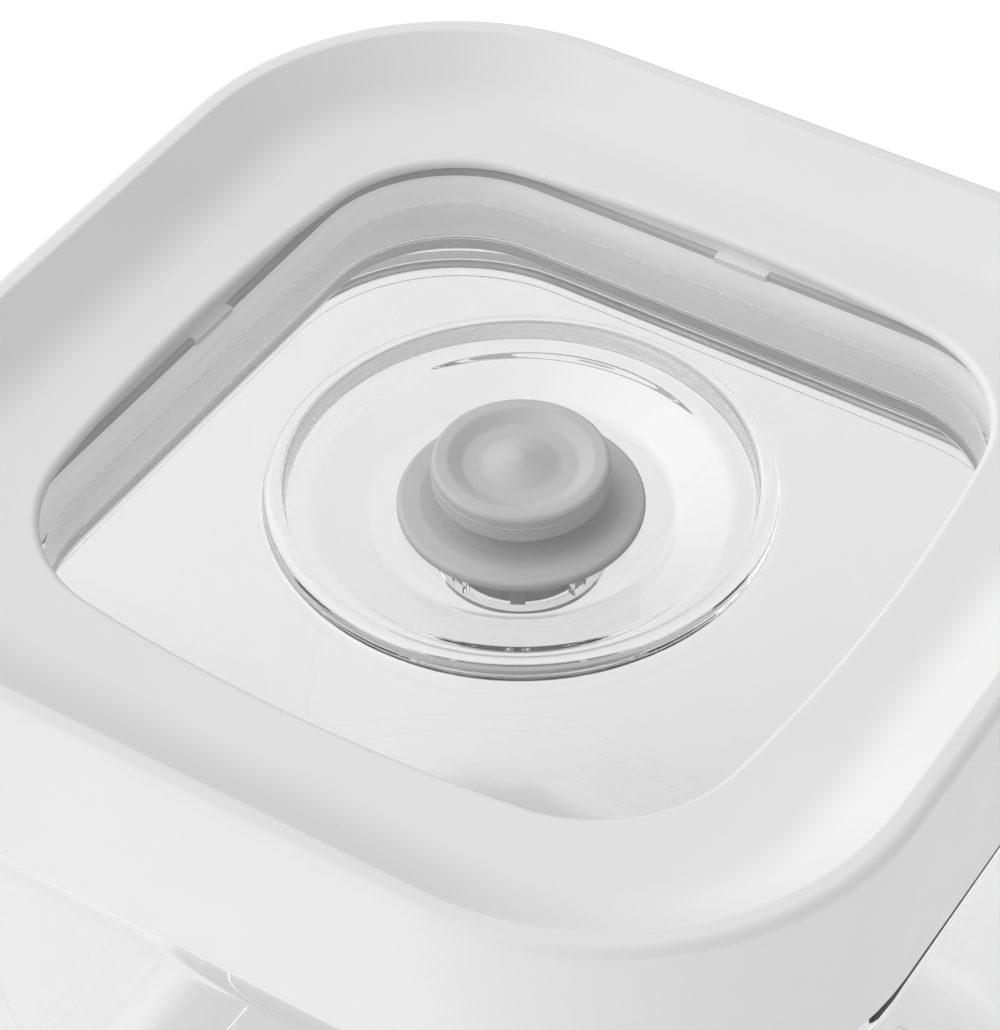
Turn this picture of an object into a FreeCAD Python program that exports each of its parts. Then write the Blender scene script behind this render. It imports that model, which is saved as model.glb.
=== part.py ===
"""Square vacuum food canister: clear box, white lid frame, clear window tray, silicone seal and vent valve.

Millimetres, +Z up. The origin is the middle of the base, on the surface that the canister stands on.
The side with the plain wide rim towards a user is the front, at -Y.
"""
import FreeCAD
import Part
import math
import os

Vector = FreeCAD.Vector

# Whole canister
canister_height = 108.0
lid_width = 100.0
lid_corner_radius = 28.5

# Lid frame: lip, rim, skirt and opening
lip_height = 4.9
lip_round = 2.6
lip_crest_width = 0.7
lip_edge_round = 0.8
lip_top_wall = 2.6
lip_hollow_round = 1.2
ramp_width = 4.2
ramp_round = 6.5
rim_width = 15.2
rim_thickness = 2.05
skirt_depth = 20.2
skirt_wall = 1.9
skirt_draft = 0.4
skirt_edge_round = 0.5
opening_side_radius = 166.0
opening_corner_radius = 14.2
opening_edge_round = 0.7

# Pocket under the rim's inner edge, with straight sides, which the bowed opening overhangs
pocket_step = 0.15
pocket_corner_radius = 14.65
pocket_rim_thickness = 0.85

# Snap tabs of the frame, which hold the tray down
snap_tab_length = 5.5
snap_tab_width = 1.4
snap_tab_offset = 2.2
snap_tab_root = 0.3
side_count = 4

# Window tray: coaming, flat plate and plug wall
slit_width = 0.45
slit_height = 0.7
coaming_height = 1.4
coaming_wall = 0.6
coaming_round = 0.2
plate_thickness = 1.6
plate_fillet = 0.3
plug_wall = 1.1
plug_fillet = 0.5
plug_depth = 9.0
plug_flange_thickness = 1.3
plug_flange_reach = 2.2
plug_edge_round = 0.3

# Raised ring on the plate that guides a hand pump, and the sloped floor inside it down to the valve's seat
ring_inner_diameter = 41.0
ring_width = 1.9
ring_height = 1.35
ring_round = 0.85
ring_fillet = 0.4
pump_land = 1.9
seat_diameter = 27.0
seat_depth = 1.6
seat_round = 2.0

# Lid seal
seal_seat_clearance = 0.05
seal_notch_clearance = 0.3
seal_flange_thickness = 2.25
seal_space = 4.0
seal_body = 1.5
seal_fin_count = 2
seal_fin_root = 1.4
seal_fin_tip = 0.7
seal_fin_tip_round = 0.3
seal_fin_rise = 0.8
seal_neck_clearance = 0.3

# Container
neck_wall = 2.2
neck_edge_round = 0.5
shoulder_gap = 2.0
shoulder_round = 2.0
shoulder_thickness = 2.4
shoulder_fillet = 1.0
shoulder_inner_round = 1.4
body_inset = 0.9
body_draft = 1.8
body_wall = 2.3
base_thickness = 3.0
base_round = 6.0
base_inner_round = 4.0
foot_width = 4.5
foot_recess = 0.8

# Vent valve, with heights measured from its seat
button_diameter = 15.5
button_top = 5.75
button_thickness = 2.85
button_edge_round = 0.5
button_land = 1.4
button_dish = 0.7
dish_slope = 1.3
dish_round = 0.9
bump_height = 1.15
bump_diameter = 6.8
bump_top_diameter = 0.9
bump_round = 2.2
valve_neck_diameter = 9.4
valve_neck_fillet = 0.7
saucer_diameter = 21.7
saucer_rim_height = 1.15
saucer_rim_width = 2.0
saucer_edge_round = 0.5
saucer_dip_height = 0.75
saucer_dip_diameter = 14.0
saucer_land = 2.2
saucer_under = 0.35
stem_diameter = 6.8
stem_clearance = 0.8
valve_foot_diameter = 12.8
valve_foot_bottom = 6.5
valve_foot_round = 0.5
valve_lift = 1.5
lift_stop_clearance = 0.15
vent_diameter = 1.5
vent_count = 6

# Valve cage under the seat
cage_clearance = 0.4
cage_wall = 0.8
cage_depth = 5.0
cage_ring_height = 0.6
cage_rib_count = 8
cage_turn = -60
cage_rib_width = 1.3
cage_gusset_reach = 1.5
cage_gusset_height = 1.1

# Length by which a cutting tool runs past what it cuts, and by which a root sinks into its own piece
overrun = 0.6

# Points closer than this are one point
same_point = 1e-6

# Heights, from the lip's crest downwards
crest_z = canister_height
rim_z = crest_z - lip_height
pocket_z = rim_z - pocket_rim_thickness
frame_under_z = rim_z - rim_thickness
coaming_z = frame_under_z - slit_height
plate_z = coaming_z - coaming_height
under_plate_z = plate_z - plate_thickness
ring_z = plate_z + ring_height
seat_z = plate_z - seat_depth
under_seat_z = seat_z - plate_thickness
neck_z = frame_under_z - seal_flange_thickness
plug_z = coaming_z - plug_depth
seal_z = plug_z + plug_flange_thickness
skirt_z = crest_z - skirt_depth
shoulder_z = skirt_z - shoulder_gap
shoulder_under_z = shoulder_z - shoulder_thickness


def bowed_corner(half, corner, side):
    """Place and starting angle of a corner arc between two bowed sides.

    Each side is an arc of radius side, with its middle at half. A corner arc that is tangent to it has its
    centre on the same radius line. The angle is the one that puts the centre as far from one middle plane
    as from the other.
    """
    reach = side - corner
    angle = math.pi / 4 - math.asin((side - half) / (math.sqrt(2) * reach))
    return reach * math.sin(angle), angle


# Half widths: the outside first, then from the window outwards to the container's neck
lid_half = lid_width / 2
lid_corner_place = lid_half - lid_corner_radius
skirt_inner_half = lid_half - skirt_wall
lip_half = lid_half - skirt_draft
crest_half = lip_half - lip_round - lip_crest_width
ramp_half = crest_half - ramp_width
opening_half = lid_half - rim_width
opening_corner_place, opening_angle = bowed_corner(opening_half, opening_corner_radius, opening_side_radius)
pocket_half = opening_half + pocket_step
tray_corner_place = pocket_half - pocket_corner_radius
tray_half = pocket_half - slit_width
window_half = tray_half - coaming_wall
plug_inner_half = tray_half - plug_wall
neck_inner_half = tray_half + seal_space
neck_half = neck_inner_half + neck_wall
body_half = lid_half - body_inset
base_half = body_half - body_draft

# Radii about the middle axis
ring_inner_radius = ring_inner_diameter / 2
slope_radius = ring_inner_radius - pump_land
seat_radius = seat_diameter / 2
button_radius = button_diameter / 2
valve_neck_radius = valve_neck_diameter / 2
saucer_radius = saucer_diameter / 2
stem_radius = stem_diameter / 2
stem_hole_radius = stem_radius + stem_clearance
valve_foot_radius = valve_foot_diameter / 2
cage_inner_radius = valve_foot_radius + cage_clearance
cage_radius = cage_inner_radius + cage_wall
vent_pitch_radius = (stem_hole_radius + cage_inner_radius) / 2

middle = Vector(0, 0, 0)
upwards = Vector(0, 0, 1)
full_turn = 360
quarter_turn = 90


def profile(corners):
    """Face in the XZ plane with straight sides, whose corners (x, z, radius) are rounded by tangent arcs.

    At a corner, the arc starts and ends where the sides are radius / tan(half the angle) from it.
    """
    points = [Vector(x, 0, z) for x, z, radius in corners]
    arcs = []
    for index, (x, z, radius) in enumerate(corners):
        here = points[index]
        to_last = (points[index - 1] - here).normalize()
        to_next = (points[(index + 1) % len(points)] - here).normalize()
        half_angle = to_last.getAngle(to_next) / 2
        reach = radius / math.tan(half_angle)
        halfway = (to_last + to_next).normalize() if radius else upwards
        depth = radius / math.sin(half_angle) - radius
        arcs.append((here + to_last * reach, here + halfway * depth, here + to_next * reach, radius))
    edges = []
    for index, (start, top, end, radius) in enumerate(arcs):
        last_end = arcs[index - 1][2]
        if not last_end.isEqual(start, same_point):
            edges.append(Part.makeLine(last_end, start))
        if radius:
            edges.append(Part.Arc(start, top, end).toShape())
    return Part.Face(Part.Wire(edges))


def turned(corners):
    """Solid made by a full turn of a profile about the middle axis."""
    return profile(corners).revolve(middle, upwards, full_turn)


def tube(inner, outer, low, high):
    """Plain round tube about the middle axis."""
    return turned([(inner, low, 0), (outer, low, 0), (outer, high, 0), (inner, high, 0)])


def around(shape, count):
    """The given shape and its copies, spaced evenly round the middle axis."""
    copies = []
    for index in range(count):
        copy = shape.copy()
        copy.rotate(middle, upwards, full_turn * index / count)
        copies.append(copy)
    return copies


def one_solid(shapes):
    """Fuses shapes into one clean solid."""
    fused = shapes[0].multiFuse(shapes[1:]).removeSplitter()
    return fused.Solids[0]


def square_ring(corners, place):
    """Carries a profile round a square with rounded corners, whose corner axes are at place, place."""
    face = profile(corners)
    face.translate(Vector(0, -place, 0))
    run = face.extrude(Vector(0, 2 * place, 0))
    face.translate(Vector(0, 2 * place, 0))
    bend = face.revolve(Vector(place, place, 0), upwards, quarter_turn)
    return one_solid(around(run, side_count) + around(bend, side_count))


def square_block(corners, place):
    """Solid block: a profile that starts and ends at place, carried round, with the middle filled in.

    The first corner is the lowest point at place, and the last corner is the highest.
    """
    low = corners[0][1]
    high = corners[-1][1]
    core = Part.makeBox(2 * place, 2 * place, high - low, Vector(-place, -place, low))
    return one_solid([core, square_ring(corners, place)])


def opening_block(low, high):
    """Block with the outline of the frame's opening: four bowed sides joined by tangent corner arcs."""
    side_place = opening_side_radius - opening_half
    end_x = opening_side_radius * math.cos(opening_angle) - side_place
    end_y = opening_side_radius * math.sin(opening_angle)
    diagonal = opening_corner_place + opening_corner_radius * math.sqrt(0.5)
    start = Vector(end_x, -end_y, low)
    end = Vector(end_x, end_y, low)
    side = Part.Arc(start, Vector(opening_half, 0, low), end).toShape()
    corner = Part.Arc(end, Vector(diagonal, diagonal, low), Vector(end_y, end_x, low)).toShape()
    edges = around(side, side_count) + around(corner, side_count)
    outline = Part.Wire(Part.__sortEdges__(edges))
    return Part.Face(outline).extrude(upwards * (high - low))


def lid_frame():
    """White frame: skirt, raised lip, hollow ramp, flat rim round the bowed opening, pocket and tabs."""
    hollow_half = ramp_half + rim_thickness
    shell = square_ring([
        (lid_half, skirt_z, skirt_edge_round),
        (lip_half, crest_z, lip_round),
        (crest_half, crest_z, lip_edge_round),
        (ramp_half, rim_z, ramp_round),
        (lid_corner_place, rim_z, 0),
        (lid_corner_place, frame_under_z, 0),
        (hollow_half, frame_under_z, 0),
        (skirt_inner_half - skirt_draft, crest_z - lip_top_wall, lip_hollow_round),
        (skirt_inner_half, skirt_z, skirt_edge_round),
    ], lid_corner_place)
    frame = shell.cut(opening_block(frame_under_z - overrun, crest_z + overrun))
    top_edges = [edge for edge in frame.Edges if on_opening_edge(edge)]
    frame = frame.makeFillet(opening_edge_round, top_edges)
    pocket = square_block([
        (tray_corner_place, frame_under_z - overrun, 0),
        (pocket_half, frame_under_z - overrun, 0),
        (pocket_half, pocket_z, 0),
        (tray_corner_place, pocket_z, 0),
    ], tray_corner_place)
    tab = Part.makeBox(
        snap_tab_width, snap_tab_length, slit_height + snap_tab_root,
        Vector(tray_half - slit_width, -snap_tab_offset - snap_tab_length / 2, coaming_z))
    return one_solid([frame.cut(pocket)] + around(tab, side_count))


def on_opening_edge(edge):
    """True for the edges of the opening at the level of the flat rim."""
    box = edge.BoundBox
    reach = math.hypot(edge.CenterOfMass.x, edge.CenterOfMass.y)
    widest = math.sqrt(2) * opening_corner_place + opening_corner_radius
    level = box.ZLength < overrun and abs(box.ZMin - rim_z) < overrun
    return level and reach < widest + overrun


def window_tray():
    """Clear tray: coaming, flat plate with a ring and a sloped valve seat, and a flanged plug wall."""
    foot_half = tray_half + plug_flange_reach
    shell = square_ring([
        (tray_corner_place, under_plate_z, 0),
        (plug_inner_half, under_plate_z, plug_fillet),
        (plug_inner_half, plug_z, plug_edge_round),
        (foot_half, plug_z, plug_edge_round),
        (foot_half, seal_z, plug_edge_round),
        (tray_half, seal_z, 0),
        (tray_half, coaming_z, coaming_round),
        (window_half, coaming_z, coaming_round),
        (window_half, plate_z, plate_fillet),
        (tray_corner_place, plate_z, 0),
    ], tray_corner_place)
    plate = Part.makeBox(
        2 * tray_corner_place, 2 * tray_corner_place, plate_thickness,
        Vector(-tray_corner_place, -tray_corner_place, under_plate_z))
    body = one_solid([shell, plate, pump_ring(), sloped_disc(under_seat_z, under_plate_z, plate_z)])
    stem_hole = Part.makeCylinder(
        stem_hole_radius, plate_thickness + 2 * overrun, Vector(0, 0, under_seat_z - overrun))
    vent = Part.makeCylinder(
        vent_diameter / 2, plate_thickness + 2 * overrun,
        Vector(vent_pitch_radius, 0, under_seat_z - overrun))
    for hole in [sloped_disc(seat_z, plate_z, plate_z + overrun), stem_hole] + around(vent, vent_count):
        body = body.cut(hole)
    return body.Solids[0]


def pump_ring():
    """Ring with a round top and filleted feet, which stands on the plate."""
    outer_radius = ring_inner_radius + ring_width
    return turned([
        (ring_inner_radius - 2 * ring_fillet, under_plate_z, 0),
        (outer_radius + 2 * ring_fillet, under_plate_z, 0),
        (outer_radius + 2 * ring_fillet, plate_z, 0),
        (outer_radius, plate_z, ring_fillet),
        (outer_radius, ring_z, ring_round),
        (ring_inner_radius, ring_z, ring_round),
        (ring_inner_radius, plate_z, ring_fillet),
        (ring_inner_radius - 2 * ring_fillet, plate_z, 0),
    ])


def sloped_disc(low, edge, high):
    """Disc whose underside is flat at the seat and slopes up to an edge: a cutter above, material below."""
    return turned([
        (0, low, 0),
        (seat_radius, low, seat_round),
        (slope_radius, edge, seat_round),
        (slope_radius + ring_fillet, edge, 0),
        (slope_radius + ring_fillet, high, 0),
        (0, high, 0),
    ])


def lid_seal():
    """Silicone seal round the tray's wall: flange between frame and neck, sleeve and slanted fins."""
    inner = tray_half + seal_seat_clearance
    outer = inner + seal_body
    tip = neck_inner_half - seal_neck_clearance
    pitch = (neck_z - seal_z) / seal_fin_count
    corners = [(inner, frame_under_z, 0), (inner, seal_z, 0), (outer, seal_z, 0)]
    for index in range(seal_fin_count):
        root_z = seal_z + pitch * (index + 0.5)
        tip_z = root_z + seal_fin_rise
        corners.append((outer, root_z - seal_fin_root / 2, 0))
        corners.append((tip, tip_z - seal_fin_tip / 2, seal_fin_tip_round))
        corners.append((tip, tip_z + seal_fin_tip / 2, seal_fin_tip_round))
        corners.append((outer, root_z + seal_fin_root / 2, 0))
    corners.append((outer, neck_z, 0))
    corners.append((neck_half, neck_z, 0))
    corners.append((neck_half, frame_under_z, 0))
    seal = square_ring(corners, tray_corner_place)
    notch_length = snap_tab_length + 2 * seal_notch_clearance
    notch = Part.makeBox(
        snap_tab_width + seal_notch_clearance, notch_length, 2 * slit_height,
        Vector(tray_half - slit_width, -snap_tab_offset - notch_length / 2, coaming_z))
    for hole in around(notch, side_count):
        seal = seal.cut(hole)
    return seal.Solids[0]


def container():
    """Clear box with a drafted body, a shoulder flush with the skirt and a narrower upright neck."""
    outside = square_block([
        (lid_corner_place, 0, 0),
        (base_half, 0, base_round),
        (body_half, shoulder_z, shoulder_round),
        (lid_corner_place, shoulder_z, 0),
    ], lid_corner_place)
    inside = square_block([
        (lid_corner_place, base_thickness, 0),
        (base_half - body_wall, base_thickness, base_inner_round),
        (body_half - body_wall, shoulder_under_z, shoulder_inner_round),
        (lid_corner_place, shoulder_under_z, 0),
    ], lid_corner_place)
    neck = square_block([
        (tray_corner_place, shoulder_under_z, 0),
        (neck_half + shoulder_fillet, shoulder_under_z, 0),
        (neck_half + shoulder_fillet, shoulder_z, 0),
        (neck_half, shoulder_z, shoulder_fillet),
        (neck_half, neck_z, neck_edge_round),
        (tray_corner_place, neck_z, 0),
    ], tray_corner_place)
    mouth = square_block([
        (tray_corner_place, shoulder_under_z - overrun, 0),
        (neck_inner_half, shoulder_under_z - overrun, 0),
        (neck_inner_half, neck_z, neck_edge_round),
        (neck_inner_half + neck_edge_round, neck_z, 0),
        (neck_inner_half + neck_edge_round, neck_z + overrun, 0),
        (tray_corner_place, neck_z + overrun, 0),
    ], tray_corner_place)
    recess_half = base_half - base_round - foot_width
    recess = square_block([
        (lid_corner_place, -overrun, 0),
        (recess_half, -overrun, 0),
        (recess_half, foot_recess, 0),
        (lid_corner_place, foot_recess, 0),
    ], lid_corner_place)
    body = outside.fuse(neck).cut(inside).cut(mouth).cut(recess)
    return body.removeSplitter().Solids[0]


def vent_valve():
    """Silicone valve in one moulding: dished button, neck, saucer flange, stem and retaining foot."""
    top_z = seat_z + button_top
    dish_z = top_z - button_dish
    button_under_z = top_z - button_thickness
    land_radius = button_radius - button_land
    dip_z = seat_z + saucer_dip_height
    rim_top_z = seat_z + saucer_rim_height
    arch_z = seat_z + saucer_under
    foot_top_z = under_seat_z - valve_lift - lift_stop_clearance
    foot_z = seat_z - valve_foot_bottom
    return turned([
        (0, dish_z + bump_height, 0),
        (bump_top_diameter / 2, dish_z + bump_height, bump_round),
        (bump_diameter / 2, dish_z, bump_round),
        (land_radius - dish_slope, dish_z, dish_round),
        (land_radius, top_z, dish_round),
        (button_radius, top_z, button_edge_round),
        (button_radius, button_under_z, button_edge_round),
        (valve_neck_radius, button_under_z, valve_neck_fillet),
        (valve_neck_radius, dip_z, valve_neck_fillet),
        (saucer_dip_diameter / 2, dip_z, dish_round),
        (saucer_radius - saucer_rim_width, rim_top_z, dish_round),
        (saucer_radius, rim_top_z, saucer_edge_round),
        (saucer_radius, seat_z, saucer_edge_round),
        (saucer_radius - saucer_land, seat_z, 0),
        (saucer_radius - saucer_land - saucer_under, arch_z, 0),
        (stem_radius, arch_z, 0),
        (stem_radius, foot_top_z, 0),
        (valve_foot_radius, foot_top_z, valve_foot_round),
        (valve_foot_radius, foot_z, valve_foot_round),
        (0, foot_z, 0),
    ])


def valve_cage():
    """Clear open cage round the valve's foot: two rings joined by ribs with gussets against the floor."""
    low_z = under_seat_z - cage_depth
    gusset_z = under_seat_z - cage_gusset_height
    upper = tube(cage_inner_radius, cage_radius, under_seat_z - cage_ring_height, under_seat_z)
    lower = tube(cage_inner_radius, cage_radius, low_z, low_z + cage_ring_height)
    wall = turned([
        (cage_inner_radius, low_z, 0),
        (cage_radius, low_z, 0),
        (cage_radius, gusset_z, 0),
        (cage_radius + cage_gusset_reach, under_seat_z, 0),
        (cage_inner_radius, under_seat_z, 0),
    ])
    rib_slot = Part.makeBox(
        cage_radius + cage_gusset_reach + overrun, cage_rib_width, cage_depth,
        Vector(0, -cage_rib_width / 2, low_z))
    rib = wall.common(rib_slot)
    rib.rotate(Vector(0, 0, 0), Vector(0, 0, 1), cage_turn)
    return one_solid([upper, lower] + around(rib, cage_rib_count))


pieces = {
    "container": container,
    "lid_frame": lid_frame,
    "window_tray": window_tray,
    "lid_seal": lid_seal,
    "vent_valve": vent_valve,
    "valve_cage": valve_cage,
}

os.makedirs("parts", exist_ok=True)
for name, make in pieces.items():
    solid = make()
    solid.exportStep(f"parts/{name}.step")
    print(f"{name}: {solid.Volume / 1000:.2f} cm3, valid {solid.isValid()}")
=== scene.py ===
# %% [markdown]
# # A vacuum canister with a clear window in its lid
#
# The canister has six pieces: a clear box, a white lid frame, a clear window tray with a raised ring, a
# soft seal, a silicone valve in the middle of the ring, and a small clear cage under it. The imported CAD
# model is the frame. It gives every piece its place, and the pieces here stand for its nodes with smoother
# skins and real finishes.

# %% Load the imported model
import math

import bpy
import numpy as np
from mathutils import Matrix


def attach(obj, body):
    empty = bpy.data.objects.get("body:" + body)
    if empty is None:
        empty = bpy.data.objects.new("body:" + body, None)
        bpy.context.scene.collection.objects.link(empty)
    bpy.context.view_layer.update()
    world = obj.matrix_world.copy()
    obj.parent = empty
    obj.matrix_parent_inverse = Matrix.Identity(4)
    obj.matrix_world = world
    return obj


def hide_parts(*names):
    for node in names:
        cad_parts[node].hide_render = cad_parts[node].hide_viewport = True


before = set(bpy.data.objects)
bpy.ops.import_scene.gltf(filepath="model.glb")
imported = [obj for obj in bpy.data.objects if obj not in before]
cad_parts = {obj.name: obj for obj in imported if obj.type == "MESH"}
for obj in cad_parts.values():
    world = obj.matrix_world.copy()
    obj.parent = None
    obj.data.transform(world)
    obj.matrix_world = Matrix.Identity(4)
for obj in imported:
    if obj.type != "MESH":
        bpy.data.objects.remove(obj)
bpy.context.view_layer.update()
mm = 0.001

# %% [markdown]
# ## Camera
#
# The photograph looks down at the lid's front right corner from close by. Its angles, distance and focal
# length were fitted to the round ring, the square edges and the valve, so they are plain numbers here. A
# camera could also be aimed with a constraint, but a matrix says the small tilt too.

# %% Camera at the photograph's angle
view_azimuth = math.radians(33.07)
view_elevation = math.radians(43.98)
view_roll = math.radians(-0.76)
view_distance = 311.90
view_shift = np.array([1.84, 0.83])
focal_pixels = 3579.6
photo_long_side = 1030
sensor_side = 36.0
clip_near = 0.01
clip_far = 20
seat_z = 97.35


def camera_axes(azimuth, elevation, roll):
    """Right, up and back axes of a camera that looks at the middle from two angles, then rolls.

    Back points from the middle to the camera, right is level, and up is square to both. The roll turns
    right and up about back.
    """
    back = np.array([math.sin(azimuth) * math.cos(elevation),
                     -math.cos(azimuth) * math.cos(elevation),
                     math.sin(elevation)])
    level = np.array([math.cos(azimuth), math.sin(azimuth), 0.0])
    rise = np.cross(back, level)
    right = level * math.cos(roll) + rise * math.sin(roll)
    up = rise * math.cos(roll) - level * math.sin(roll)
    return right, up, back


right, up, back = camera_axes(view_azimuth, view_elevation, view_roll)
eye = view_distance * back - view_shift[0] * right - view_shift[1] * up + np.array([0, 0, seat_z])
placement = np.eye(4)
placement[:3, :3] = np.stack([right, up, back], axis=1)
placement[:3, 3] = eye * mm
camera_data = bpy.data.cameras.new("photo_camera")
camera_data.lens = focal_pixels * sensor_side / photo_long_side
camera_data.sensor_width = sensor_side
camera_data.clip_start = clip_near
camera_data.clip_end = clip_far
camera = bpy.data.objects.new("photo_camera", camera_data)
bpy.context.scene.collection.objects.link(camera)
camera.matrix_world = Matrix(placement.tolist())
bpy.context.scene.camera = camera
print(f"camera: lens {camera_data.lens:.1f} mm, eye {np.round(eye, 1)} mm")

# %% [markdown]
# ## Outlines
#
# Every level cut through this object is one of three closed lines: a square with round corners, the bowed
# opening of the frame, or a circle. Each is kept as a base point and an outward direction at the same
# number of stations, so an offset moves the whole line out, and lines of different kinds can be joined row
# to row.

# %% Stations and outlines
side_stations = 24
corner_stations = 20


def spokes(angle):
    """Unit directions in the level plane: the cosine and sine of each angle."""
    return np.stack([np.cos(angle), np.sin(angle)], axis=1)


def four_quarters(base, normal):
    """Repeats a quarter of an outline, turned by 0, 90, 180 and 270 degrees, as one closed line."""
    turns = np.array([[[1, 0], [0, 1]], [[0, -1], [1, 0]], [[-1, 0], [0, -1]], [[0, 1], [-1, 0]]], float)
    turned_base = np.einsum("qij,nj->qni", turns, base).reshape(-1, 2)
    turned_normal = np.einsum("qij,nj->qni", turns, normal).reshape(-1, 2)
    return turned_base, turned_normal


def round_square(place):
    """Square with round corners, whose corner axes are at place: the base is the square of that half width.

    On a side the outward direction is across it. Round a corner the base stays put and the direction turns
    a quarter.
    """
    along = np.linspace(-1, 1, side_stations, endpoint=False)
    turn = np.linspace(0, math.pi / 2, corner_stations, endpoint=False)
    side = np.stack([np.full(side_stations, place), place * along], axis=1)
    corner = np.full((corner_stations, 2), place)
    ahead = np.tile([1.0, 0.0], (side_stations, 1))
    return four_quarters(np.concatenate([side, corner]), np.concatenate([ahead, spokes(turn)]))


def bowed_square(half, corner, side):
    """Four long arcs, bowed out to half at their middles and joined by short arcs tangent to them.

    The long arcs have radius side and the short ones radius corner. The centre of a short arc lies on the
    diagonal, as far from the centre of each long arc that it joins as their radii differ.
    """
    reach = side - corner
    bow = math.pi / 4 - math.asin((side - half) / (math.sqrt(2) * reach))
    place = reach * math.sin(bow)
    swing = np.linspace(-bow, bow, side_stations, endpoint=False)
    turn = np.linspace(bow, math.pi / 2 - bow, corner_stations, endpoint=False)
    directions = spokes(np.concatenate([swing, turn]))
    side_centres = np.tile([half - side, 0.0], (side_stations, 1))
    corner_centres = np.full((corner_stations, 2), place)
    centres = np.concatenate([side_centres, corner_centres])
    radii = np.concatenate([np.full(side_stations, side), np.full(corner_stations, corner)])
    return four_quarters(centres + radii[:, None] * directions, directions)


def circle_like(outline, offset):
    """Circle about the axis, with its stations in the same directions from the middle as an outline's."""
    base, normal = outline
    angle = np.arctan2(*(base + offset * normal).T[::-1])
    return np.zeros_like(base), spokes(angle)


def circle(stations):
    """Circle about the axis with evenly spaced stations: the base is the middle."""
    return np.zeros((stations, 2)), spokes(np.linspace(0, 2 * math.pi, stations, endpoint=False))


print("stations round a square outline:", 4 * (side_stations + corner_stations))

# %% [markdown]
# ## Profiles and skins
#
# Moulded pieces have no sharp edges, so each profile is a few corners rounded by tangent arcs. A Bevel
# modifier could round a mesh too, but here the radius of each edge is known. Points close to the ends of
# long straight runs keep the flats flat when the skin is shaded smooth.

# %% Profiles
arc_points = 12
run_guard = 0.12
tiny = 1e-6


def rounded(corners):
    """Points of a profile through corners (across, up, radius), each rounded by a tangent arc.

    An arc starts and ends radius / tan(half the corner's angle) away from the corner, and its points are
    blended from the two end spokes in equal steps of angle.
    """
    corners = np.array(corners, float)
    here, radius = corners[:, :2], corners[:, 2:]
    to_last = np.roll(here, 1, axis=0) - here
    to_next = np.roll(here, -1, axis=0) - here
    to_last = to_last / np.linalg.norm(to_last, axis=1, keepdims=True)
    to_next = to_next / np.linalg.norm(to_next, axis=1, keepdims=True)
    half_angle = np.arccos(np.clip((to_last * to_next).sum(axis=1, keepdims=True), -1, 1)) / 2
    reach = radius / np.tan(half_angle)
    between = to_last + to_next
    length = np.linalg.norm(between, axis=1, keepdims=True)
    middle = here + between / np.where(length > 0, length, 1) * radius / np.sin(half_angle)
    sweep = (math.pi - 2 * half_angle)[:, None]
    step = np.linspace(0, 1, arc_points)[None, :, None]
    spoke_in = (here + to_last * reach - middle)[:, None]
    spoke_out = (here + to_next * reach - middle)[:, None]
    spread = np.where(np.sin(sweep) > tiny, np.sin(sweep), 1)
    blend = np.sin((1 - step) * sweep) * spoke_in + np.sin(step * sweep) * spoke_out
    arcs = middle[:, None] + blend / spread
    points = np.where(radius[:, None] > 0, arcs, here[:, None]).reshape(-1, 2)
    return points[np.append(np.linalg.norm(np.diff(points, axis=0), axis=1) > tiny, True)]


def guarded(points):
    """Adds a point close to each end of every long straight run of a profile."""
    run = np.diff(points, axis=0)
    length = np.linalg.norm(run, axis=1)
    pull = (run / length[:, None]) * run_guard
    trio = np.stack([points[:-1], points[:-1] + pull, points[1:] - pull], axis=1)
    keep = np.ones(trio.shape[:2], bool)
    keep[:, 1:] = (length > 4 * run_guard)[:, None]
    return np.concatenate([trio[keep], points[-1:]])


def rows_of(outline, profile, place=0.0):
    """Grid (row, station, xyz): the outline moved out to each profile point, at that point's height.

    The offset is the profile's half width less place, the half width at which the outline's base lies.
    """
    base, normal = outline
    flat = base[None] + (profile[:, 0] - place)[:, None, None] * normal[None]
    height = np.broadcast_to(profile[:, 1][:, None, None], flat.shape[:2] + (1,))
    return np.concatenate([flat, height], axis=2)


# %% Skins
sharp_corner = math.radians(35)


def quads(row_count, station_count, closed):
    """Corner numbers of the four-sided faces of a grid.

    The grid is wrapped along its stations, and along its rows too if it is closed.
    """
    row = np.arange(row_count if closed else row_count - 1)[:, None]
    station = np.arange(station_count)[None, :]
    after = (station + 1) % station_count
    below = (row + 1) % row_count
    corners = np.broadcast_arrays(row * station_count + station, row * station_count + after,
                                  below * station_count + after, below * station_count + station)
    return np.stack(corners, axis=-1).reshape(-1, 4)


def caps(row_count, station_count):
    """Triangles from a grid's first and last rows to two poles, numbered after the grid's own points."""
    station = np.arange(station_count)
    after = (station + 1) % station_count
    first_pole = np.full(station_count, row_count * station_count)
    start = np.stack([first_pole, after, station], axis=1)
    last = (row_count - 1) * station_count
    end = np.stack([first_pole + 1, last + station, last + after], axis=1)
    return np.concatenate([start, end])


def enclosed(points, triangles):
    """Volume inside a closed skin: a sixth of the sum of each triangle's box product.

    It is below 0 if the skin is inside out.
    """
    a, b, c = (points[triangles[:, k]] for k in range(3))
    return (np.cross(a, b) * c).sum() / 6


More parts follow.
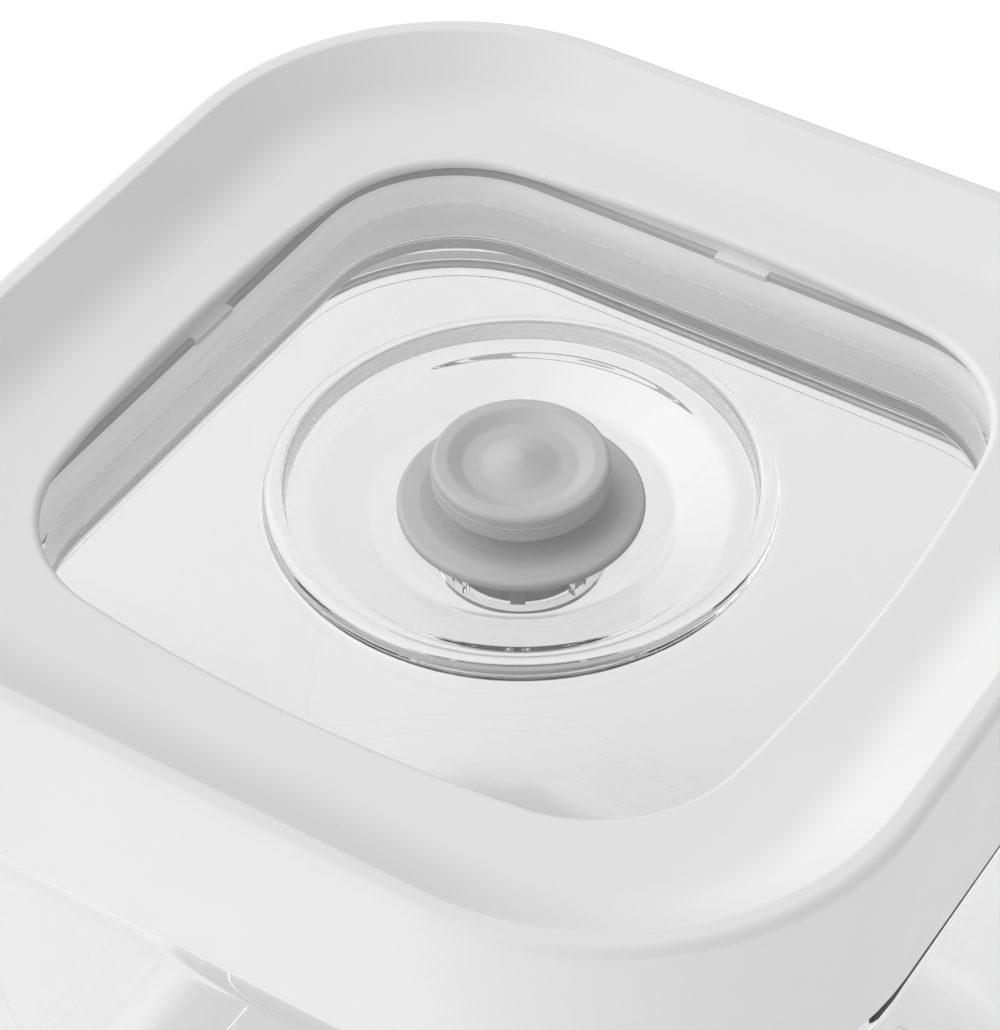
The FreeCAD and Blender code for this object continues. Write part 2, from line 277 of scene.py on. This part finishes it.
def skin(name, grids, closed=True):
    """One object from grids of rows, each wrapped into a closed band or capped by a pole at each end.

    Faces are turned outwards by the sign of the enclosed volume, and shaded smooth except at sharp corners.
    """
    points, faces, count = [], [], 0
    for grid in grids:
        row_count, station_count = grid.shape[:2]
        cells = quads(row_count, station_count, closed)
        halves = np.concatenate([cells[:, [0, 1, 2]], cells[:, [0, 2, 3]]])
        fans = np.zeros((0, 3), int) if closed else caps(row_count, station_count)
        poles = np.zeros((0, 3)) if closed else np.stack([grid[0].mean(axis=0), grid[-1].mean(axis=0)])
        own = np.concatenate([grid.reshape(-1, 3), poles]) * mm
        flip = enclosed(own, np.concatenate([halves, fans])) < 0
        cells, fans = (cells[:, ::-1], fans[:, ::-1]) if flip else (cells, fans)
        points.append(own)
        faces += (cells + count).tolist() + (fans + count).tolist()
        count += len(own)
    mesh = bpy.data.meshes.new(name)
    mesh.from_pydata(np.concatenate(points).tolist(), [], faces)
    mesh.polygons.foreach_set("use_smooth", np.ones(len(mesh.polygons), bool))
    mesh.set_sharp_from_angle(angle=sharp_corner)
    mesh.update()
    piece = bpy.data.objects.new(name, mesh)
    bpy.context.scene.collection.objects.link(piece)
    print(f"{name}: {len(mesh.vertices)} points, {len(mesh.polygons)} faces")
    return piece


def dress(piece, body, node, material):
    """Lets a piece ride on its body, stand for its CAD node and wear its finish."""
    piece.data.materials.append(material)
    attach(piece, body)
    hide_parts(node)


# %% [markdown]
# ## Finishes
#
# There are three materials. The frame is white plastic with a satin skin from a fine spark-eroded mould.
# The window and the box are clear, polished plastic with a trace of flow waviness. The valve is matt grey
# silicone. The seal is the same grey silicone painted paler, which is painted light for the light that
# reaches it through clear plastic on both sides. The frame and the silicones glow faintly. This glow is
# painted light: it partly stands for light that white plastic and silicone let through, and it lightens
# their shaded sides. The seal glows most. The tints are noise on Object coordinates, which lies still on
# the piece from every side.

# %% Tools for finishes
noise_low = 0.3
noise_high = 0.7


def finish(name, level, roughness, glow=0.0, **sockets):
    """A new Principled material in one grey, its constant values set straight on the shader's sockets."""
    material = bpy.data.materials.new(name)
    material.use_nodes = True
    shader = material.node_tree.nodes["Principled BSDF"]
    shader.inputs["Base Color"].default_value = (level, level, level, 1)
    shader.inputs["Roughness"].default_value = roughness
    shader.inputs["Emission Color"].default_value = (1, 1, 1, 1)
    shader.inputs["Emission Strength"].default_value = glow
    for socket, value in sockets.items():
        shader.inputs[socket.replace("_", " ")].default_value = value
    return material, shader


def object_noise(material, scale, detail=3.0):
    """Noise in the piece's own space, in features per metre."""
    nodes = material.node_tree.nodes
    place = nodes.new("ShaderNodeTexCoord")
    noise = nodes.new("ShaderNodeTexNoise")
    noise.inputs["Scale"].default_value = scale
    noise.inputs["Detail"].default_value = detail
    material.node_tree.links.new(place.outputs["Object"], noise.inputs["Vector"])
    return noise


def vary(material, shader, socket, noise, low, high):
    """Lets noise move a socket between two values."""
    spread = material.node_tree.nodes.new("ShaderNodeMapRange")
    spread.inputs["From Min"].default_value = noise_low
    spread.inputs["From Max"].default_value = noise_high
    spread.inputs["To Min"].default_value = low
    spread.inputs["To Max"].default_value = high
    material.node_tree.links.new(noise.outputs["Fac"], spread.inputs["Value"])
    material.node_tree.links.new(spread.outputs["Result"], shader.inputs[socket])


def tint(material, shader, noise, dark, light):
    """Lets noise move the base colour between two greys."""
    ramp = material.node_tree.nodes.new("ShaderNodeValToRGB")
    ramp.color_ramp.elements[0].position = noise_low
    ramp.color_ramp.elements[0].color = (dark, dark, dark, 1)
    ramp.color_ramp.elements[1].position = noise_high
    ramp.color_ramp.elements[1].color = (light, light, light, 1)
    material.node_tree.links.new(noise.outputs["Fac"], ramp.inputs["Fac"])
    material.node_tree.links.new(ramp.outputs["Color"], shader.inputs["Base Color"])


def emboss(material, shader, noise, depth, strength):
    """Lets noise raise the surface by a depth in millimetres."""
    bump = material.node_tree.nodes.new("ShaderNodeBump")
    bump.inputs["Strength"].default_value = strength
    bump.inputs["Distance"].default_value = depth * mm
    material.node_tree.links.new(noise.outputs["Fac"], bump.inputs["Height"])
    material.node_tree.links.new(bump.outputs["Normal"], shader.inputs["Normal"])


# %% Finishes
clear_plastic = dict(IOR=1.49, Transmission_Weight=1.0)

# The frame's faint glow is painted light that lightens its shaded sides and the gaps under it.
white_frame, shader = finish("white_frame", 0.7, roughness=0.55, glow=0.09)
tint(white_frame, shader, object_noise(white_frame, 45), dark=0.69, light=0.71)
vary(white_frame, shader, "Roughness", object_noise(white_frame, 160), low=0.5, high=0.6)
emboss(white_frame, shader, object_noise(white_frame, 2600, detail=1.0), depth=0.01, strength=0.12)

clear_window, shader = finish("clear_window", 0.89, roughness=0.0, **clear_plastic)
vary(clear_window, shader, "Roughness", object_noise(clear_window, 120), low=0.0, high=0.012)
emboss(clear_window, shader, object_noise(clear_window, 55, detail=1.0), depth=0.05, strength=0.05)

clear_box, shader = finish("clear_box", 0.9, roughness=0.0, **clear_plastic)
vary(clear_box, shader, "Roughness", object_noise(clear_box, 120), low=0.0, high=0.015)
emboss(clear_box, shader, object_noise(clear_box, 40, detail=1.0), depth=0.05, strength=0.05)

# The faint glow is painted light that lightens the valve's shaded underside, neck and foot.
grey_silicone, shader = finish("grey_silicone", 0.47, roughness=0.6, glow=0.06)
tint(grey_silicone, shader, object_noise(grey_silicone, 220), dark=0.455, light=0.485)
vary(grey_silicone, shader, "Roughness", object_noise(grey_silicone, 500), low=0.52, high=0.68)
emboss(grey_silicone, shader, object_noise(grey_silicone, 3200, detail=1.0), depth=0.012, strength=0.15)

# Painted light: the seal's grey silicone is given a pale grey and a strong glow, so the band seen through
# the clear wall stays bright.
seal_painted_light, shader = finish("seal_painted_light", 0.88, roughness=0.55, glow=0.3)
tint(seal_painted_light, shader, object_noise(seal_painted_light, 150), dark=0.86, light=0.9)
vary(seal_painted_light, shader, "Roughness", object_noise(seal_painted_light, 400), low=0.5, high=0.62)
emboss(seal_painted_light, shader, object_noise(seal_painted_light, 2800, detail=1.0), depth=0.01, strength=0.12)

finishes = (white_frame, clear_window, clear_box, grey_silicone, seal_painted_light)
print("finishes:", ", ".join(material.name for material in finishes))

# %% [markdown]
# ## Lid frame
#
# The frame is one white moulding. Its skirt stands almost upright, rolls over a thin lip, and falls in a
# hollow ramp to the flat rim round the bowed opening. The lip is a little thinner and lower here than the
# CAD node's, as in the photograph. The rim's inner edge is thin and overhangs a pocket with straight sides.
# The profile is carried round in three stretches: the outside and the ramp follow the lid's square, the
# opening's edge follows the bowed line, and the pocket follows the tray's square.

# %% Lid frame
crest_z = 107.3
rim_z = 103.1
pocket_z = 102.25
frame_under_z = 101.05
skirt_z = 87.8
lid_half = 50.0
lid_place = 21.5
lip_half = 49.9
lip_round = 1.0
lip_edge_round = 0.6
lip_top_wall = 2.6
lip_hollow_round = 1.2
crest_half = 47.8
ramp_half = 42.1
ramp_round = 6.5
rim_run = 4.0
rim_thickness = rim_z - frame_under_z
skirt_inner_half = 48.1
skirt_draft = 0.4
skirt_edge_round = 0.5
opening_run = 1.2
opening_edge_round = 0.7
opening_under_run = 0.05
opening_under_round = 0.08
pocket_half = 34.95
pocket_top_run = 0.06
pocket_top_round = 0.05
pocket_edge_round = 0.12
pocket_edge_run = 1.0
tray_place = 20.3

opening = bowed_square(half=34.8, corner=14.2, side=166.0)
lid_square = round_square(lid_place)
tray_square = round_square(tray_place)

outside = guarded(rounded([
    (ramp_half + rim_thickness, frame_under_z, 0.0),
    (skirt_inner_half - skirt_draft, crest_z - lip_top_wall, lip_hollow_round),
    (skirt_inner_half, skirt_z, skirt_edge_round),
    (lid_half, skirt_z, skirt_edge_round),
    (lip_half, crest_z, lip_round),
    (crest_half, crest_z, lip_edge_round),
    (ramp_half, rim_z, ramp_round),
    (ramp_half - rim_run, rim_z, 0.0),
]))
opening_edge = guarded(rounded([
    (opening_run, rim_z, 0.0),
    (0.0, rim_z, opening_edge_round),
    (0.0, pocket_z, opening_under_round),
    (opening_under_run, pocket_z, 0.0),
]))
pocket = guarded(rounded([
    (pocket_half - pocket_top_run, pocket_z, 0.0),
    (pocket_half, pocket_z, pocket_top_round),
    (pocket_half, frame_under_z, pocket_edge_round),
    (pocket_half + pocket_edge_run, frame_under_z, 0.0),
]))
lid_frame = skin("lid_frame_shell", [np.concatenate([
    rows_of(lid_square, outside, lid_place),
    rows_of(opening, opening_edge),
    rows_of(tray_square, pocket, tray_place),
])])
dress(lid_frame, "lid", "lid_frame", white_frame)

# %% [markdown]
# Four small tabs hang from the pocket's lower edge onto the tray, one on each side and a little off the
# middle. They hold the tray down. Each is a block with round edges whose root is inside the frame. A cube
# with a Bevel modifier would do as well, but the block uses the same rows as everything else.

# %% Snap tabs
tray_half = 34.5
coaming_z = 100.35
block_corner_points = 5
tab_count = 4
tab_length = 5.5
tab_offset = -2.2
tab_overhang = 0.35
tab_root = 0.5
tab_root_rise = 0.05
tab_round = 0.15


def block(low, high, radius):
    """Grid of a block with round edges: a rectangle with round corners, carried up a rounded profile.

    The base stays at each corner's axis while the outward direction turns a quarter round it.
    """
    low, high = np.array(low), np.array(high)
    quarter = spokes(np.linspace(0, math.pi / 2, block_corner_points))
    normal = np.concatenate([quarter, quarter[::-1] * [-1, 1], quarter * [-1, -1], quarter[::-1] * [1, -1]])
    corner = np.repeat([[1, 1], [-1, 1], [-1, -1], [1, -1]], block_corner_points, axis=0)
    base = (low + high)[:2] / 2 + corner * ((high - low)[:2] / 2 - radius)
    side = rounded([
        (radius / 2, low[2], 0),
        (radius, low[2], radius / 2),
        (radius, high[2], radius / 2),
        (radius / 2, high[2], 0),
    ])
    return rows_of((base, normal), side)


def turned_copies(grid, count):
    """The grid and its copies, turned about the upright axis in even steps."""
    angle = 2 * math.pi * np.arange(count) / count
    spin = np.zeros((count, 3, 3))
    spin[:, 0, 0] = spin[:, 1, 1] = np.cos(angle)
    spin[:, 1, 0] = np.sin(angle)
    spin[:, 0, 1] = -np.sin(angle)
    spin[:, 2, 2] = 1
    return list(np.einsum("kij,rsj->krsi", spin, grid))


tab_low = (tray_half - tab_overhang, tab_offset - tab_length / 2, coaming_z)
tab_high = (pocket_half + tab_root, tab_offset + tab_length / 2, frame_under_z + tab_root_rise)
tab = block(tab_low, tab_high, tab_round)
snap_tabs = skin("snap_tabs", turned_copies(tab, tab_count), closed=False)
snap_tabs.data.materials.append(white_frame)
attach(snap_tabs, "lid")

# %% [markdown]
# ## Window tray
#
# The tray is one clear moulding and the piece that shows most. A low coaming runs round its flat plate,
# just under the frame's edge. A ring with a round top stands on the plate and guides the pump, and inside
# it the floor slopes down to the valve's seat. Below the plate is the plug wall with its foot flange. The
# skin is one closed band: from the valve's hole over the top to the outside, and back underneath.

# %% Window tray
plate_z = 98.95
under_plate_z = 97.35
under_seat_z = 95.75
ring_z = 100.3
plug_z = 91.35
seal_z = 92.65
coaming_wall = 0.6
coaming_round = 0.2
plug_wall = 1.1
plug_root_round = 0.5
flange_width = 2.2
flange_round = 0.3
flange_root_round = 0.05
plate_run = 2.0
ring_inner_radius = 20.5
ring_outer_radius = 22.4
ring_top_round = 0.85
ring_foot_round = 0.4
slope_radius = 18.6
slope_round = 2.0
seat_radius = 13.5
seat_run = 1.0
stem_hole_radius = 4.2
stem_hole_round = 0.1
stem_hole_run = 0.6
window_half = tray_half - coaming_wall
plug_inner_half = tray_half - plug_wall
flange_half = tray_half + flange_width

tray_circle = circle_like(tray_square, tray_half - tray_place)
floor_skin = guarded(rounded([
    (stem_hole_radius + seat_run, seat_z, 0.0),
    (seat_radius, seat_z, slope_round),
    (slope_radius, plate_z, slope_round),
    (ring_inner_radius, plate_z, ring_foot_round),
    (ring_inner_radius, ring_z, ring_top_round),
    (ring_outer_radius, ring_z, ring_top_round),
    (ring_outer_radius, plate_z, ring_foot_round),
    (ring_outer_radius + plate_run, plate_z, 0.0),
]))
edge_skin = guarded(rounded([
    (window_half - plate_run, plate_z, 0.0),
    (window_half, plate_z, flange_round),
    (window_half, coaming_z, coaming_round),
    (tray_half, coaming_z, coaming_round),
    (tray_half, seal_z, flange_root_round),
    (flange_half, seal_z, flange_round),
    (flange_half, plug_z, flange_round),
    (plug_inner_half, plug_z, flange_round),
    (plug_inner_half, under_plate_z, plug_root_round),
    (plug_inner_half - plate_run, under_plate_z, 0.0),
]))
under_skin = guarded(rounded([
    (ring_outer_radius + plate_run, under_plate_z, 0.0),
    (slope_radius, under_plate_z, slope_round),
    (seat_radius, under_seat_z, slope_round),
    (stem_hole_radius, under_seat_z, stem_hole_round),
    (stem_hole_radius, seat_z, stem_hole_round),
    (stem_hole_radius + stem_hole_run, seat_z, 0.0),
]))
window_tray = skin("window_tray_clear", [np.concatenate([
    rows_of(tray_circle, floor_skin),
    rows_of(tray_square, edge_skin, tray_place),
    rows_of(tray_circle, under_skin),
])])

# %% [markdown]
# Six small vents go through the floor between the stem and the cage. They are straight round holes, so six
# pins are cut out of the finished skin, and the pins are thrown away.

# %% Vents
vent_count = 6
vent_radius = 0.75
vent_pitch_radius = 5.5
vent_stations = 24
pin_overrun = 1

pin_ends = np.array([(vent_radius, under_seat_z - pin_overrun), (vent_radius, seat_z + pin_overrun)])
pin = rows_of(circle(vent_stations), pin_ends)
pins = skin("vent_pins", turned_copies(pin + [vent_pitch_radius, 0, 0], vent_count), closed=False)
cut = window_tray.modifiers.new("vents", "BOOLEAN")
cut.operation = "DIFFERENCE"
cut.solver = "EXACT"
cut.object = pins
bored_tray = window_tray.evaluated_get(bpy.context.evaluated_depsgraph_get())
bored = bpy.data.meshes.new_from_object(bored_tray)
window_tray.modifiers.clear()
window_tray.data = bored
window_tray.data.set_sharp_from_angle(angle=sharp_corner)
bpy.data.objects.remove(pins)
dress(window_tray, "lid", "window_tray", clear_window)
print("window tray after the vents:", len(window_tray.data.polygons), "faces")

# %% [markdown]
# ## Lid seal
#
# The seal is a silicone sleeve round the tray's wall. It wets the clear wall, so it shows through it as the
# grey band round the window. Its finish is painted pale and glowing, which is painted light that keeps that
# band bright. Air between the two would turn the wall into a mirror. Its flange lies between the frame and
# the neck's rim, and two fins slant out to the neck. Above the coaming it is bare. There it shows as the
# dark slot under the frame's edge, and its faces wear the valve's darker grey as painted shade.

# %% Lid seal
neck_z = 98.8
neck_gap = 4.0
neck_wall = 2.2
sleeve_wall = 1.55
seal_wetting = 0.02
seal_clearance = 0.03
seal_edge_round = 0.3
seal_foot_round = 0.2
seal_root_round = 0.1
fin_gap = 0.3
fin_root_half = 0.7
fin_tip_half = 0.35
fin_rise = 0.8
neck_inner_half = tray_half + neck_gap
neck_half = neck_inner_half + neck_wall
seal_top_z = frame_under_z - seal_clearance
seal_inner_half = tray_half - seal_wetting
seal_outer_half = tray_half + sleeve_wall
fin_reach = neck_inner_half - fin_gap
fin_pitch = (neck_z - seal_z) / 2


def fin(root_z):
    """Corners of one fin of the profile: out under it to the raised tip, and back along its top."""
    tip_z = root_z + fin_rise
    return [
        (seal_outer_half, root_z - fin_root_half, seal_root_round),
        (fin_reach, tip_z - fin_tip_half, seal_edge_round),
        (fin_reach, tip_z + fin_tip_half, seal_edge_round),
        (seal_outer_half, root_z + fin_root_half, seal_root_round),
    ]


seal_profile = guarded(rounded([
    (seal_inner_half, seal_top_z, seal_root_round),
    (seal_inner_half, coaming_z, 0.0),
    (seal_inner_half, seal_z, seal_foot_round),
    (seal_outer_half, seal_z, seal_edge_round),
    *fin(seal_z + 0.5 * fin_pitch),
    *fin(seal_z + 1.5 * fin_pitch),
    (seal_outer_half, neck_z, seal_root_round),
    (neck_half, neck_z, seal_edge_round),
    (neck_half, seal_top_z, seal_edge_round),
]))
lid_seal = skin("lid_seal_sleeve", [rows_of(tray_square, seal_profile, tray_place)])
dress(lid_seal, "lid", "lid_seal", seal_painted_light)
# Painted shade: the faces above the coaming take the darker grey for the shade in the slot under the
# frame's edge.
lid_seal.data.materials.append(grey_silicone)
middles = np.empty(3 * len(lid_seal.data.polygons))
lid_seal.data.polygons.foreach_get("center", middles)
slot_painted_shade = middles[2::3] > coaming_z * mm
lid_seal.data.polygons.foreach_set("material_index", slot_painted_shade.astype(np.int32))
print("bare faces of the seal above the coaming:", slot_painted_shade.sum())

# %% [markdown]
# ## Vent valve
#
# The valve is one turned silicone moulding: a button with a dished top and a small bump in its middle, a
# neck, a saucer that closes the vents, a stem, and a foot that keeps it in the lid. A fine bead round the
# button is its mould's parting line. A turned piece is a profile carried round a circle.

# %% Vent valve
valve_stations = 128
pole_radius = 0.05
bump_top_radius = 0.45
bump_radius = 3.4
bump_height = 1.15
bump_round = 2.2
dish_radius = 5.05
dish_rim_radius = 6.35
dish_depth = 0.7
dish_round = 0.9
button_radius = 7.75
button_thickness = 2.85
button_height = 5.75
button_round = 0.5
parting_radius = 7.82
parting_depth = 1.2
parting_half = 0.1
parting_round = 0.03
valve_neck_radius = 4.7
valve_neck_round = 0.7
dip_radius = 7.0
dip_height = 0.75
saucer_rim_radius = 8.85
saucer_radius = 10.85
saucer_height = 1.15
saucer_edge_round = 0.5
seat_band_radius = 8.65
arch_radius = 8.3
arch_height = 0.35
stem_radius = 3.4
valve_foot_radius = 6.4
valve_foot_round = 0.5
valve_foot_gap = 1.65
valve_foot_depth = 6.5
button_top_z = seat_z + button_height
button_under_z = button_top_z - button_thickness
dish_z = button_top_z - dish_depth
bump_z = dish_z + bump_height
parting_z = button_top_z - parting_depth
dip_z = seat_z + dip_height
saucer_top_z = seat_z + saucer_height
arch_z = seat_z + arch_height
valve_foot_top_z = under_seat_z - valve_foot_gap
valve_foot_z = seat_z - valve_foot_depth

valve_profile = guarded(rounded([
    (pole_radius, bump_z, 0.0),
    (bump_top_radius, bump_z, bump_round),
    (bump_radius, dish_z, bump_round),
    (dish_radius, dish_z, dish_round),
    (dish_rim_radius, button_top_z, dish_round),
    (button_radius, button_top_z, button_round),
    (button_radius, parting_z + parting_half, parting_round),
    (parting_radius, parting_z, parting_round),
    (button_radius, parting_z - parting_half, parting_round),
    (button_radius, button_under_z, button_round),
    (valve_neck_radius, button_under_z, valve_neck_round),
    (valve_neck_radius, dip_z, valve_neck_round),
    (dip_radius, dip_z, dish_round),
    (saucer_rim_radius, saucer_top_z, dish_round),
    (saucer_radius, saucer_top_z, saucer_edge_round),
    (saucer_radius, seat_z, saucer_edge_round),
    (seat_band_radius, seat_z, 0.0),
    (arch_radius, arch_z, 0.0),
    (stem_radius, arch_z, 0.0),
    (stem_radius, valve_foot_top_z, 0.0),
    (valve_foot_radius, valve_foot_top_z, valve_foot_round),
    (valve_foot_radius, valve_foot_z, valve_foot_round),
    (pole_radius, valve_foot_z, 0.0),
]))
vent_valve = skin("vent_valve_moulding", [rows_of(circle(valve_stations), valve_profile)], closed=False)
dress(vent_valve, "valve", "vent_valve", grey_silicone)

# %% [markdown]
# ## Container
#
# The box is clear too. Its walls lean in a little towards the base, its shoulder is almost flush with the
# lid's skirt, and a narrower neck goes up inside the lid. The base stands on a flat band round a shallow
# recess. Inner rows of the flat bottom faces are the same rounded square made smaller, down to a pole.

# %% Container
shoulder_z = 85.8
shoulder_under_z = 83.4
shoulder_round = 2.0
shoulder_inner_round = 1.4
shoulder_run = 3.0
body_half = 49.1
body_wall = 2.3
neck_round = 0.5
neck_root_round = 1.0
neck_run = 2.0
neck_under_run = 1.0
base_half = 47.3
base_z = 3.0
base_round = 6.0
base_inner_round = 4.0
base_inner_run = 9.0
base_ring_inset = 10.0
recess_half = 36.8
recess_depth = 0.8
recess_edge_round = 0.3
recess_root_round = 0.1
recess_ring_inset = 0.5
ring_shares = np.array([1.0, 0.5, 0.05])
body_inner_half = body_half - body_wall
base_inner_half = base_half - body_wall


def shrunk(half, height, shares):
    """Rows of the rounded square of a half width, made smaller by shares, at one height."""
    base, normal = lid_square
    ring = base + (half - lid_place) * normal
    flat = shares[:, None, None] * ring[None]
    return np.concatenate([flat, np.full(flat.shape[:2] + (1,), height)], axis=2)


outer_skin = guarded(rounded([
    (recess_half, recess_depth, recess_root_round),
    (recess_half, 0.0, recess_edge_round),
    (base_half, 0.0, base_round),
    (body_half, shoulder_z, shoulder_round),
    (neck_half + shoulder_run, shoulder_z, 0.0),
]))
neck_skin = guarded(rounded([
    (neck_half + neck_run, shoulder_z, 0.0),
    (neck_half, shoulder_z, neck_root_round),
    (neck_half, neck_z, neck_round),
    (neck_inner_half, neck_z, neck_round),
    (neck_inner_half, shoulder_under_z, neck_round),
    (neck_inner_half + neck_under_run, shoulder_under_z, 0.0),
]))
inner_skin = guarded(rounded([
    (neck_half + neck_run, shoulder_under_z, 0.0),
    (body_inner_half, shoulder_under_z, shoulder_inner_round),
    (base_inner_half, base_z, base_inner_round),
    (base_inner_half - base_inner_run, base_z, 0.0),
]))
container = skin("container_box", [np.concatenate([
    shrunk(recess_half - recess_ring_inset, recess_depth, ring_shares[::-1]),
    rows_of(lid_square, outer_skin, lid_place),
    rows_of(tray_square, neck_skin, tray_place),
    rows_of(lid_square, inner_skin, lid_place),
    shrunk(base_inner_half - base_ring_inset, base_z, ring_shares),
])], closed=False)
dress(container, "container", "container", clear_box)

# %% [markdown]
# ## Valve cage
#
# The cage is small and clear, and only its ribs show through the floor beside the valve. The CAD node has
# all of its shape, so it stays and takes the window's finish.

# %% Valve cage
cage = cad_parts["valve_cage"]
cage.data.materials.clear()
cage.data.materials.append(clear_window)
print("valve cage keeps its CAD mesh:", len(cage.data.polygons), "faces")

# %% [markdown]
# ## Floor and light
#
# The photograph is a bright studio shot on white. The light is one dome with a wide bright patch on the
# left, which models the valve's bump, and an even fill around it. A dome has no hard edges, which keeps
# light through clear plastic free of speckle. The floor is pale and glows a little, as paper lit from
# below does.

# %% Floor
floor_half = 3000.0
floor_sink = 0.05
floor_mesh = bpy.data.meshes.new("floor")
floor_corners = np.array([(-1, -1, 0), (1, -1, 0), (1, 1, 0), (-1, 1, 0)]) * floor_half
floor_mesh.from_pydata(((floor_corners - [0, 0, floor_sink]) * mm).tolist(), [], [(0, 1, 2, 3)])
floor = bpy.data.objects.new("floor", floor_mesh)
bpy.context.scene.collection.objects.link(floor)
paper, shader = finish("floor_paper", 0.55, roughness=0.9, glow=0.56)
floor_mesh.materials.append(paper)
print("floor:", 2 * floor_half * mm, "m wide")

# %% [markdown]
# The dome's brightness depends only on the angle to the key direction. A dot product measures that angle,
# and a colour ramp turns it into a level. A new ramp has two stops of its own, at its ends, which are taken
# out again. Light crosses many clear walls here, so it may bounce often.

# %% Light
key_direction = (-0.81, -0.28, 0.515)
dome_levels = ((0.0, 0.56), (0.5, 0.44), (0.72, 0.5), (0.8, 0.9), (0.88, 1.75), (0.93, 2.45), (1.0, 2.75))
bounces = 32

world = bpy.data.worlds.new("studio_dome")
world.use_nodes = True
bpy.context.scene.world = world
dome = world.node_tree
direction = dome.nodes.new("ShaderNodeTexCoord")
key_side = dome.nodes.new("ShaderNodeVectorMath")
key_side.operation = "DOT_PRODUCT"
key_side.inputs[1].default_value = key_direction
ramp = dome.nodes.new("ShaderNodeValToRGB")
for position, level in dome_levels:
    stop = ramp.color_ramp.elements.new(position)
    stop.color = (level, level, level, 1)
ramp.color_ramp.elements.remove(ramp.color_ramp.elements[0])
ramp.color_ramp.elements.remove(ramp.color_ramp.elements[-1])
spread = dome.nodes.new("ShaderNodeMapRange")
spread.inputs["From Min"].default_value = -1.0
spread.inputs["From Max"].default_value = 1.0
dome.links.new(direction.outputs["Generated"], key_side.inputs[0])
dome.links.new(key_side.outputs["Value"], spread.inputs["Value"])
dome.links.new(spread.outputs["Result"], ramp.inputs["Fac"])
dome.links.new(ramp.outputs["Color"], dome.nodes["Background"].inputs["Color"])
bpy.context.scene.view_settings.view_transform = "Standard"

cycles = bpy.context.scene.cycles
cycles.max_bounces = bounces
cycles.glossy_bounces = bounces
cycles.transmission_bounces = bounces
print("dome:", len(ramp.color_ramp.elements), "levels, brightest", dome_levels[-1][1])
